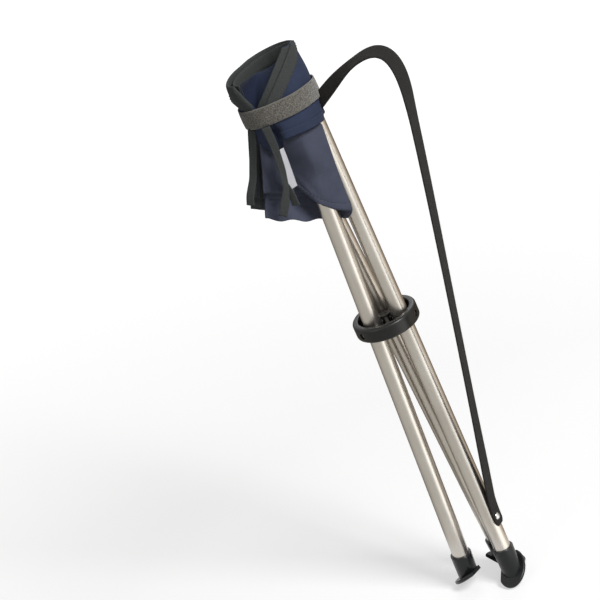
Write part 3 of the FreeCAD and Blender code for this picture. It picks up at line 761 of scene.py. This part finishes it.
sew_front(pocket_grid[3, 1:FRONT_COUNT - 1], 1.0)
sew_front(np.array([lane[np.argmin(np.abs(lane[:, 2] - POCKET_SEAM))]
                    for lane in pocket_grid.swapaxes(0, 1)[6:FRONT_COUNT - 2]]), 0.5, length=1.8, gap=2.4)
pocket_left = pocket_mesh.build("front_pocket", [slate, thread])
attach(pocket_left, "leg_left")
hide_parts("pocket_left")


SLEEVE_R = 10.5


def sleeve(name, body, axis, drift, low, high, material, node):
    """A snug pocket with small folds and a hem."""
    mesh = Cloth()
    turns = np.linspace(0, 2 * math.pi, 60, endpoint=False)
    rows = np.linspace(low, high, 34)
    grid = np.empty((len(rows), len(turns), 3))
    for r, z in enumerate(rows):
        centre = axis_at(axis, drift, z)
        flare = 0.9 * smooth(low + 25.0, low, z)
        fold = 0.25 * np.sin(5 * turns + z / 11.0)
        fold = fold + 0.2 * ripple(10 * np.cos(turns), 10 * np.sin(turns), z, 9.0)
        radius = SLEEVE_R + 0.05 + flare + fold
        grid[r] = np.stack([centre[0] + radius * np.cos(turns), centre[1] + radius * np.sin(turns),
                            np.full(len(turns), z)], 1)
    mesh.sheet(grid, 0.8, closed=True)
    mesh.sheet(grid[:5], 0.6, closed=True, shift=0.6)
    line = np.concatenate([grid[4], grid[4, :1]])
    middle = axis_at(axis, drift, rows[4])
    normals = line - np.array([middle[0], middle[1], rows[4]])
    normals = normals / np.linalg.norm(normals, axis=1, keepdims=True)
    mesh.stitches(line + normals * 0.95, normals, 1)
    cap_rows = []
    for share in np.linspace(1.0, 0.03, 7):
        centre = axis_at(axis, drift, high)
        radius = SLEEVE_R * share
        cap_rows.append(np.stack([centre[0] + radius * np.cos(turns), centre[1] + radius * np.sin(turns),
                                  np.full(len(turns), high + 0.9 * (1 - share ** 4))], 1))
    mesh.sheet(np.array(cap_rows), 0.8, closed=True)
    obj = mesh.build(name, [material, thread])
    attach(obj, body)
    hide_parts(node)
    return obj


right_pocket = sleeve("right_pocket", "leg_right", RIGHT_AXIS, (0.0, 0.0), 243.0, 288.8, navy, "pocket_right")
rear_pocket = sleeve("rear_pocket", "leg_rear", REAR_AXIS, REAR_DRIFT, 126.0, 288.6, slate, "pocket_rear")


# A tail of the wrap that hangs in front of the folded seat: its left and right edges from the top down
TAIL_LEFT = np.array([(-46.0, -26.0, 246.0), (-48.8, -23.0, 236.8), (-55.7, -20.0, 214.3),
                      (-63.2, -18.4, 194.6), (-61.6, -16.8, 190.5), (-66.4, -16.8, 179.0),
                      (-71.1, -17.0, 168.1)])
TAIL_RIGHT = np.array([(-9.0, -13.0, 232.0), (-11.4, -13.0, 220.7), (-13.8, -12.6, 193.5),
                       (-14.6, -12.0, 169.8), (-14.2, -11.0, 167.3), (-15.9, -11.0, 151.8),
                       (-18.7, -10.5, 136.0)])
TAIL_STOPS = (0.0, 0.09, 0.32, 0.54, 0.575, 0.78, 1.0)
TAIL_STAND = (0.0, 0.0, 0.5, 5.0, -3.0, -1.0, 6.0)


def tail_grid(first, last, rows):
    """The tail's cloth between two shares of its length, with a sagging fold and soft waves."""
    grid = np.empty((rows, 44, 3))
    across = np.linspace(0, 1, 44)
    for r, share in enumerate(np.linspace(first, last, rows)):
        left = np.array([np.interp(share, TAIL_STOPS, TAIL_LEFT[:, k]) for k in range(3)])
        right = np.array([np.interp(share, TAIL_STOPS, TAIL_RIGHT[:, k]) for k in range(3)])
        line = left + np.outer(across, right - left)
        loose = smooth(0.98, 0.6, across)
        wave = np.sin(across * 13.0 + share * 5.0) + 1.2 * ripple(line[:, 0], 0.0, line[:, 2], 17.0)
        line[:, 1] -= loose * (smooth(0.05, 0.3, share) * wave + np.interp(share, TAIL_STOPS, TAIL_STAND))
        scallop = 1.3 * np.sin(across * 12.0 + 2.6) - 2.0 * bump(across, 0.34, 0.22)
        line[:, 2] += smooth(0.6, 1.0, share) * scallop
        grid[r] = line
    return grid


tail_mesh = Cloth()
tail_mesh.sheet(tail_grid(0.0, 0.56, 34)[::-1], 0.9)
tail_mesh.sheet(tail_grid(0.545, 1.0, 28)[::-1], 0.9)
tail = tail_mesh.build("wrap_tail", [slate])
ride_wrap(tail)


# Seat
def seat_corners(name):
    """Corners of a sixth in its middle plane: inner and outer end of its cut corner, its side's middle, and the
    seat's centre; and the way it faces."""
    raw, taped = (from_row([v.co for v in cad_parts[kind + name].data.vertices])
                  for kind in ("seat_", "edge_tape_"))
    middle = raw.mean(0)
    spread = np.linalg.svd(raw - middle)[2]
    normal = spread[2] if spread[2][1] < 0 else -spread[2]
    flat = raw - np.outer((raw - middle) @ normal, normal)
    corners = []
    for p in flat:
        if all(np.linalg.norm(p - q) > 0.5 for q in corners):
            corners.append(p)
    corners = np.array(corners)
    distance = np.linalg.norm(corners[:, None] - corners[None], axis=2) + 1e6 * np.eye(len(corners))
    i, j = np.unravel_index(np.argmin(distance), distance.shape)
    ends = [k for k in range(len(corners)) if k not in (i, j)]

    def to_tape(k):
        return np.linalg.norm(taped - corners[k], axis=1).min()

    side, centre = sorted(ends, key=to_tape)
    inner, outer = sorted((i, j), key=lambda k: np.linalg.norm(corners[k] - corners[centre]))
    if to_tape(outer) > to_tape(inner) + 2.0:
        outer, inner = inner, outer
    return corners[inner], corners[outer], corners[side], corners[centre], normal


# How far a sixth laps the one beside it on its leg and the next leg's, and how far its outer edge curls back
SEAM_LAP = 0.9
SIDE_LAP = 1.2
EDGE_CURL = 9.0
HEM_ROW = 27
# The edge tape's section: distance in from the edge, and height over the cloth's middle
TAPE_PROFILE = [(9.0, 0.95), (5.0, 0.95), (1.0, 1.0), (-0.3, 0.7), (-0.75, 0.0), (-0.3, -0.7), (1.0, -1.0),
                (5.0, -0.95), (9.0, -0.95)]


def sway(points, depth, front):
    """How far the hanging cloth stands forward of its flat place, by its depth from the edge."""
    x, z = points[..., 0], points[..., 2]
    hang = smooth(252.0, 190.0, z) * smooth(-12.0, -40.0, x)
    wave = hang * (1.6 + 1.1 * np.sin(x / 9.0 + z / 30.0) + (0.6 if front else 0.0))
    return wave - EDGE_CURL * smooth(285.0, 240.0, z) * smooth(15.0, -1.0, depth)


def sixth(name):
    """One sixth of the seat's cloth with its hem, and the tape on its outer edge."""
    inner, outer, side, centre, normal = seat_corners(name)
    front = name == "left_a"
    mesh = Cloth()
    s = np.linspace(0, 1, 34)[:, None, None]
    t = np.linspace(0, 1, 24)[None, :, None]
    seam = inner - outer
    seam = seam / np.linalg.norm(seam) * SEAM_LAP
    edge = side - outer
    length = np.linalg.norm(edge)
    edge = edge / length
    inward = np.cross(edge, normal)
    if np.dot(inward, centre - side) < 0:
        inward = -inward
    at_leg = (1 - t) * (inner + seam) + t * outer
    at_side = (1 - t) * (centre + seam) + t * side + edge * SIDE_LAP
    flat = (1 - s) * at_leg + s * at_side
    bent = flat + normal * sway(flat, (flat - outer) @ inward, front)[..., None]
    flip = np.dot(np.cross(bent[0, 1] - bent[0, 0], bent[1, 0] - bent[0, 0]), normal) < 0
    cloth = bent[:, ::-1] if flip else bent
    mesh.sheet(cloth, 0.8)
    hem = cloth[HEM_ROW:]
    mesh.sheet(hem, 0.5, shift=0.7)
    line = hem[0, 1:-1]
    mesh.stitches(line + normal * 1.1, np.tile(normal, (len(line), 1)), 1)
    obj = mesh.build("seat_cloth_" + name, [slate, thread])
    tape_mesh = Cloth()
    steps = np.linspace(0, length + SIDE_LAP, 40)
    cut = smooth(0.0, 12.0, steps)
    grid = np.empty((len(TAPE_PROFILE), len(steps), 3))
    for r, (inset, lift) in enumerate(TAPE_PROFILE):
        inset = np.where(inset > 1, 1 + (inset - 1) * cut, inset)
        points = outer + np.outer(steps, edge) + np.outer(inset, inward)
        grid[r] = points + np.outer(sway(points, (points - outer) @ inward, front) + lift, normal)
    tape_mesh.sheet(grid, 0.5)
    for r, way in ((0, 1.0), (8, -1.0)):
        line = grid[r, 2:-2] - inward * 1.3 + normal * 0.25 * way
        tape_mesh.stitches(line, np.tile(normal * way, (len(line), 1)), 1)
    bound = tape_mesh.build("seat_tape_" + name, [tape, thread])
    for piece, node in ((obj, "seat_" + name), (bound, "edge_tape_" + name)):
        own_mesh(piece)
        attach(piece, "seat_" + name)
        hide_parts(node)
    return obj, bound


for name in SIXTHS:
    obj, bound = sixth(name)


# Hanging loop, the tail's tape and the label
RIBBON_COLS = 9


def ribbon(name, points, widths, facing, thick, material):
    """A flat ribbon along points, whose width lies across its length and square to the way it faces."""
    points = np.asarray(points, float)
    far, steps, line = resampled(points, 60)
    for _ in range(6):
        line[1:-1] = (line[:-2] + 2 * line[1:-1] + line[2:]) / 4
    width = np.interp(steps, far, widths)
    face = np.stack([np.interp(steps, far, np.asarray(facing, float)[:, k]) for k in range(3)], 1)
    along = np.gradient(line, axis=0)
    across = np.cross(along, face)
    across = across / np.linalg.norm(across, axis=1, keepdims=True)
    grid = np.empty((len(steps), RIBBON_COLS, 3))
    for c, t in enumerate(np.linspace(-0.5, 0.5, RIBBON_COLS)):
        grid[:, c] = line + across * (width * t)[:, None]
    mesh = Cloth()
    middle = RIBBON_COLS // 2
    normal = np.cross(np.gradient(grid, axis=1)[0, middle], np.gradient(grid, axis=0)[0, middle])
    if np.dot(normal, face[0]) < 0:
        grid = grid[:, ::-1]
    mesh.sheet(grid, thick)
    return mesh.build(name, [material])


loop = ribbon("hanging_loop", [(-34.0, -45.6, 266), (-33.8, -45.6, 243), (-36.3, -45.8, 217.6),
                               (-39.4, -45.8, 199), (-47.2, -45.4, 183), (-54.5, -44.6, 171)],
              [9.0, 8.2, 7.4, 5.6, 9.4, 8.4],
              [(-0.3, -1, 0.1), (-0.3, -1, 0.0), (-0.25, -1, 0.0), (0.1, -1, 0.0), (-0.2, -1, 0.0),
               (-0.3, -1, 0.1)], 1.5, tape)
ride_wrap(loop, "hanging_loop")
fork = ribbon("loop_fork", [(-38.0, -44.0, 200), (-37.0, -43.2, 187), (-37.6, -42.0, 175)], [4.5, 6.5, 8.0],
              [(-0.3, -1, 0.1), (-0.5, -1, 0.1), (-0.6, -1, 0.1)], 1.4, tape)
ride_wrap(fork)
edging = ribbon("tail_tape", [(-47.0, -24.0, 262.0), (-53.3, -20.0, 243.7), (-59.0, -18.0, 229.9),
                              (-67.1, -18.0, 210.7), (-76.8, -18.0, 195.3), (-80.4, -18.0, 185.9)],
                [8.0, 8.0, 8.0, 8.0, 8.5, 8.5], [(-0.6, -0.8, 0.1)] * 6, 1.2, tape)
ride_wrap(edging)
label = ribbon("blank_label", [(-28.4, -39.0, 236), (-30.0, -39.6, 220), (-31.6, -39.2, 205),
                               (-32.8, -38.6, 192)], [6.0, 8.2, 9.4, 9.8],
               [(0.45, -0.9, 0.0)] + [(0.5, -0.86, 0.0)] * 3, 0.4, label_cloth)
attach(label, "leg_left")
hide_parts("care_label")

# Carry strap: its route in the upright plane through the right leg, as distance from the leg and height
STRAP_TURN = math.radians(320.0)
STRAP_WIDTH = 15.0
STRAP_THICK = 1.4
TAIL = (10.5, -272.0)
PEEL = (10.5, -248.0)
AFTER_PEEL = (15.8, -224.6)
BEFORE_GRIP = (112.1, 203.0)
GRIP = (128.0, 300.0)
ARCH = (78.0, 304.0)
ROOT = (12.0, 257.0)


def strap_at(q, z):
    return np.array([RIGHT_AXIS[0] + q * math.cos(STRAP_TURN), RIGHT_AXIS[1] + q * math.sin(STRAP_TURN), z])


route = (TAIL, PEEL, AFTER_PEEL, BEFORE_GRIP, GRIP, ARCH, ROOT)
curve = bpy.data.curves.new("strap_route", "CURVE")
curve.dimensions = "3D"
curve.resolution_u = 24
spline = curve.splines.new("NURBS")
spline.points.add(len(route) - 1)
for point, (q, z) in zip(spline.points, route):
    point.co = (*row(strap_at(q, z)), 1.0)
spline.order_u = 3
spline.use_endpoint_u = True
route_object = placed("strap_route", curve)
bpy.context.view_layer.update()
posed = route_object.evaluated_get(bpy.context.evaluated_depsgraph_get())
traced = bpy.data.meshes.new_from_object(posed)
bpy.data.objects.remove(route_object)
far, steps, strap_line = resampled(from_row([v.co for v in traced.vertices]), 260)
across = np.array([-math.sin(STRAP_TURN), math.cos(STRAP_TURN), 0.0])
along = np.gradient(strap_line, axis=0)
along = along / np.linalg.norm(along, axis=1, keepdims=True)
strap_grid = np.empty((len(steps), 9, 3))
for i, s in enumerate(steps):
    left_over = far[-1] - s
    turn = -50.0 * smooth(78.0, 8.0, left_over) - 20.0 * smooth(200.0, 120.0, left_over)
    twist = math.radians(float(turn + 7.0 * math.sin(s / 150.0) * smooth(40.0, 160.0, s)))
    spin = Matrix.Rotation(twist, 3, Vector(along[i]))
    wide = np.array(spin @ Vector(across))
    half = STRAP_WIDTH / 2 * (0.62 + 0.38 * float(smooth(0.0, 4.0, s)))
    for c, t in enumerate(np.linspace(-1, 1, 9)):
        strap_grid[i, c] = strap_line[i] + wide * half * t
strap_mesh = Cloth()
strap_mesh.sheet(strap_grid, STRAP_THICK)
strap = strap_mesh.build("carry_strap_webbing", [strap_cloth])
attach(strap, "leg_right")
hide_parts("carry_strap")

# Camera at the photograph's angle: its right, down and forward ways and its place, from the hub
RIGHT_WAY = (0.91221, -0.15253, -0.38028)
DOWN_WAY = (-0.40961, -0.36223, -0.83726)
ON_WAY = (-0.01004, 0.91952, -0.39291)
CAMERA_AT = (-46.11, -2596.54, 1169.44)
camera_data = bpy.data.cameras.new("camera")
camera_data.sensor_width = 36.0
camera_data.lens = 162.0
camera_data.clip_end = 50.0
camera = placed("camera", camera_data)
right_way, down_way, on_way = (Vector(turned(way)) for way in (RIGHT_WAY, DOWN_WAY, ON_WAY))
view = Matrix((right_way, -down_way, -on_way)).transposed().to_4x4()
view.translation = Vector(row(CAMERA_AT))
camera.matrix_world = view
bpy.context.scene.camera = camera

# Floor, world and lamps, in metres
FLOOR_HALF = 30.0
FLOOR_Z = -0.0006
AMBIENT = 0.16
AIM = (0, 0, 0.4)


def shape(name, points, faces, material):
    """A mesh with one material."""
    mesh = bpy.data.meshes.new(name)
    mesh.from_pydata(points, [], faces)
    mesh.materials.append(material)
    return placed(name, mesh)


# The floor glows to camera and reflection rays, more with distance from its middle: painted light that whitens
# the far floor, while its diffuse part keeps the stool's shadow.
floor_material, tree, shader = new_material("floor")
tree.nodes.remove(shader)
rays = add(tree, "LightPath").outputs
seen = maths(tree, "MAXIMUM", rays["Is Camera Ray"], rays["Is Glossy Ray"])
away = add(tree, "VectorMath", {"operation": "LENGTH"})
feed(tree, away.inputs[0], add(tree, "TexCoord").outputs["Object"])
level = maths(tree, "MULTIPLY", seen, spanned(tree, away.outputs["Value"], (0.5, 2.2), (0.55, 0.9)))
both = add(tree, "AddShader")
feed(tree, both.inputs[0], add(tree, "BsdfDiffuse", Color=(0.5, 0.5, 0.5, 1)).outputs["BSDF"])
feed(tree, both.inputs[1], add(tree, "Emission", Strength=level).outputs["Emission"])
put(tree, tree.nodes["Material Output"], Surface=both.outputs["Shader"])
FLOOR_CORNERS = ((-1, -1), (1, -1), (1, 1), (-1, 1))
floor = shape("floor", [(x * FLOOR_HALF, y * FLOOR_HALF, FLOOR_Z) for x, y in FLOOR_CORNERS],
              [(0, 1, 2, 3)], floor_material)

world = bpy.data.worlds.new("studio")
bpy.context.scene.world = world
world.use_nodes = True
tree = world.node_tree
rays = add(tree, "LightPath").outputs
shown = maths(tree, "MAXIMUM", rays["Is Camera Ray"], rays["Is Glossy Ray"])
clear = maths(tree, "MAXIMUM", shown, rays["Is Transmission Ray"])
put(tree, tree.nodes["Background"], Color=(1, 1, 1, 1), Strength=spanned(tree, clear, target=(AMBIENT, 1.0)))


def lamp(name, place, size, watts):
    data = bpy.data.lights.new(name, "AREA")
    data.shape = "RECTANGLE"
    data.size, data.size_y = size
    data.energy = watts
    obj = placed(name, data)
    obj.location = place
    obj.rotation_euler = (Vector(AIM) - Vector(place)).to_track_quat("-Z", "Y").to_euler()


lamp("key", (1.5, -1.9, 2.5), (0.9, 1.2), 106)
lamp("fill", (-2.2, -1.6, 1.2), (1.4, 1.6), 9)
lamp("back", (0.8, 2.2, 1.8), (1.4, 1.0), 12)

# A ring round the stool that only reflections see, for the look of round metal: light by the angle round it
STOPS = [(-180, (0.1, 0.085, 0.07)), (-140, (0.22, 0.2, 0.175)), (-110, (0.56, 0.54, 0.5)),
         (-60, (0.67, 0.66, 0.62)), (5, (0.7, 0.69, 0.66)), (22, (1.0, 1.0, 0.98)), (38, (2.2, 2.2, 2.17)),
         (60, (2.1, 2.07, 2.0)), (78, (1.0, 0.93, 0.82)), (100, (0.6, 0.5, 0.4)), (130, (0.24, 0.19, 0.14)),
         (180, (0.1, 0.085, 0.07))]
CARD_TURN = (0.0, 0.0, math.radians(91.0))
CARD_SIDES = 72
CARD_PROFILE = ((0.12, 0.002), (6.0, 0.002), (6.0, 1.202))
card_material, tree, shader = new_material("reflection card")
tree.nodes.remove(shader)
spin = add(tree, "Mapping", Vector=add(tree, "TexCoord").outputs["Object"], Rotation=CARD_TURN)
around = add(tree, "TexGradient", {"gradient_type": "RADIAL"}, Vector=spin.outputs["Vector"]).outputs["Fac"]
ramp = add(tree, "ValToRGB", Fac=around)
stops = ramp.color_ramp.elements
for turn, colour in STOPS[1:-1]:
    stops.new((turn + 180.0) / 360.0).color = (*colour, 1)
stops[0].color = (*STOPS[0][1], 1)
stops[len(STOPS) - 1].color = (*STOPS[-1][1], 1)
glow = add(tree, "Emission", Color=ramp.outputs["Color"]).outputs["Emission"]
put(tree, tree.nodes["Material Output"], Surface=glow)
card_turns = [2 * math.pi * k / CARD_SIDES for k in range(CARD_SIDES)]
card = shape("reflection card",
             [(r * math.cos(a), r * math.sin(a), z) for r, z in CARD_PROFILE for a in card_turns],
             [tuple(j * CARD_SIDES + k % CARD_SIDES
                    for j, k in ((i, n), (i, n + 1), (i + 1, n + 1), (i + 1, n)))
              for i in range(len(CARD_PROFILE) - 1) for n in range(CARD_SIDES)], card_material)
for ray in ("camera", "diffuse", "transmission", "volume_scatter", "shadow"):
    setattr(card, "visible_" + ray, False)

bpy.context.scene.view_settings.view_transform = "Standard"
